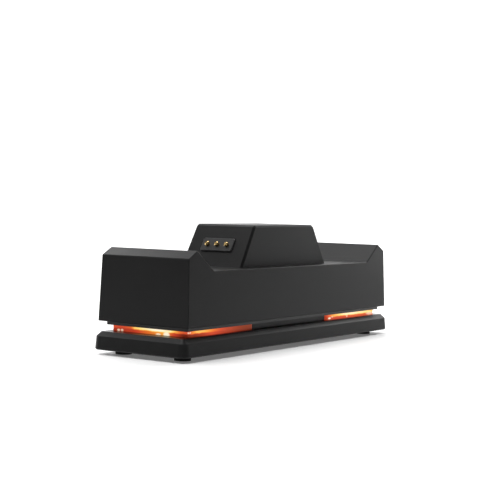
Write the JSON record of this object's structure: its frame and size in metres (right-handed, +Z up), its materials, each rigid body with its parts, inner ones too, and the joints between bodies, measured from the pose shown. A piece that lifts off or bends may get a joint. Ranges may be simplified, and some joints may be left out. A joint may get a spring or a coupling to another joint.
{
  "type": "controller charging dock",
  "caption": "Long low dock on round feet that holds game controllers back to back on a leaning spine with sprung charging contacts, lit by amber light bars under its ends.",
  "frame": {"origin": "on the ground, under the middle of the base", "axes": "+Y along the dock from the front cradle to the rear one, +X across it, away from the power inlet, +Z up"},
  "size_m": [0.0558, 0.1938, 0.0629],
  "materials": {
    "housing_plastic": "fine satin moulding texture",
    "base_plastic": "fine satin moulding texture",
    "floor_plastic": "plain matte",
    "contact_insulator": "smooth satin",
    "contact_metal": "gold plated, polished",
    "spring_bronze": "rolled strip",
    "screw_steel": "dark zinc plated",
    "ballast_steel": "rolled plate",
    "amber_guide": "clear, glowing amber",
    "lamp_resin": "glowing amber lamp",
    "board_laminate": "solder resist",
    "connector_plastic": "moulded",
    "ribbon_film": "flexible film",
    "foot_rubber": "fine matte",
    "chip_resin": "moulded",
    "coil_ferrite": "pressed powder",
    "capacitor_ceramic": "fired ceramic",
    "inlet_steel": "nickel plated sheet",
    "tongue_plastic": "moulded"
  },
  "bodies": {
    "dock": {"ballast_front": "ballast_steel", "ballast_rear": "ballast_steel", "base_shell": "base_plastic", "board_capacitors": "capacitor_ceramic", "bottom_plate": "base_plastic", "charge_chip": "chip_resin", "column_screws": "screw_steel", "contact_block_front": "contact_insulator", "contact_block_rear": "contact_insulator", "contact_board_front": "board_laminate", "contact_board_rear": "board_laminate", "contact_connector_front": "connector_plastic", "contact_connector_rear": "connector_plastic", "contact_ribbon_front": "ribbon_film", "contact_ribbon_rear": "ribbon_film", "contact_spring_front_1": "spring_bronze", "contact_spring_front_2": "spring_bronze", "contact_spring_front_3": "spring_bronze", "contact_spring_rear_1": "spring_bronze", "contact_spring_rear_2": "spring_bronze", "contact_spring_rear_3": "spring_bronze", "cradle_housing": "housing_plastic", "foot_1": "foot_rubber", "foot_2": "foot_rubber", "foot_3": "foot_rubber", "foot_4": "foot_rubber", "housing_floor": "floor_plastic", "inlet_socket": "inlet_steel", "inlet_tongue": "tongue_plastic", "lamp_board_front": "board_laminate", "lamp_board_rear": "board_laminate", "lamp_ribbon_front": "ribbon_film", "lamp_ribbon_rear": "ribbon_film", "lamps_front": "lamp_resin", "lamps_rear": "lamp_resin", "light_guide_front": "amber_guide", "light_guide_rear": "amber_guide", "main_board": "board_laminate", "power_coil": "coil_ferrite", "ribbon_connectors": "connector_plastic", "spine_cover": "housing_plastic"},
    "pin_front_1": {"contact_pin_front_1": "contact_metal"},
    "pin_front_2": {"contact_pin_front_2": "contact_metal"},
    "pin_front_3": {"contact_pin_front_3": "contact_metal"},
    "pin_rear_1": {"contact_pin_rear_1": "contact_metal"},
    "pin_rear_2": {"contact_pin_rear_2": "contact_metal"},
    "pin_rear_3": {"contact_pin_rear_3": "contact_metal"}
  },
  "joints": [
    {"name": "contact_pin_front_1_travel", "type": "slide", "parent": "dock", "child": "pin_front_1", "axis": [0, 0.866, -0.5], "range_m": [0, 0.0012], "stiffness_N_per_m": 400, "springref_m": -0.0008, "deforming": ["contact_spring_front_1"]},
    {"name": "contact_pin_front_2_travel", "type": "slide", "parent": "dock", "child": "pin_front_2", "axis": [0, 0.866, -0.5], "range_m": [0, 0.0012], "stiffness_N_per_m": 400, "springref_m": -0.0008, "deforming": ["contact_spring_front_2"]},
    {"name": "contact_pin_front_3_travel", "type": "slide", "parent": "dock", "child": "pin_front_3", "axis": [0, 0.866, -0.5], "range_m": [0, 0.0012], "stiffness_N_per_m": 400, "springref_m": -0.0008, "deforming": ["contact_spring_front_3"]},
    {"name": "contact_pin_rear_1_travel", "type": "slide", "parent": "dock", "child": "pin_rear_1", "axis": [0, -0.866, -0.5], "range_m": [0, 0.0012], "stiffness_N_per_m": 400, "springref_m": -0.0008, "deforming": ["contact_spring_rear_1"]},
    {"name": "contact_pin_rear_2_travel", "type": "slide", "parent": "dock", "child": "pin_rear_2", "axis": [0, -0.866, -0.5], "range_m": [0, 0.0012], "stiffness_N_per_m": 400, "springref_m": -0.0008, "deforming": ["contact_spring_rear_2"]},
    {"name": "contact_pin_rear_3_travel", "type": "slide", "parent": "dock", "child": "pin_rear_3", "axis": [0, -0.866, -0.5], "range_m": [0, 0.0012], "stiffness_N_per_m": 400, "springref_m": -0.0008, "deforming": ["contact_spring_rear_3"]}
  ]
}
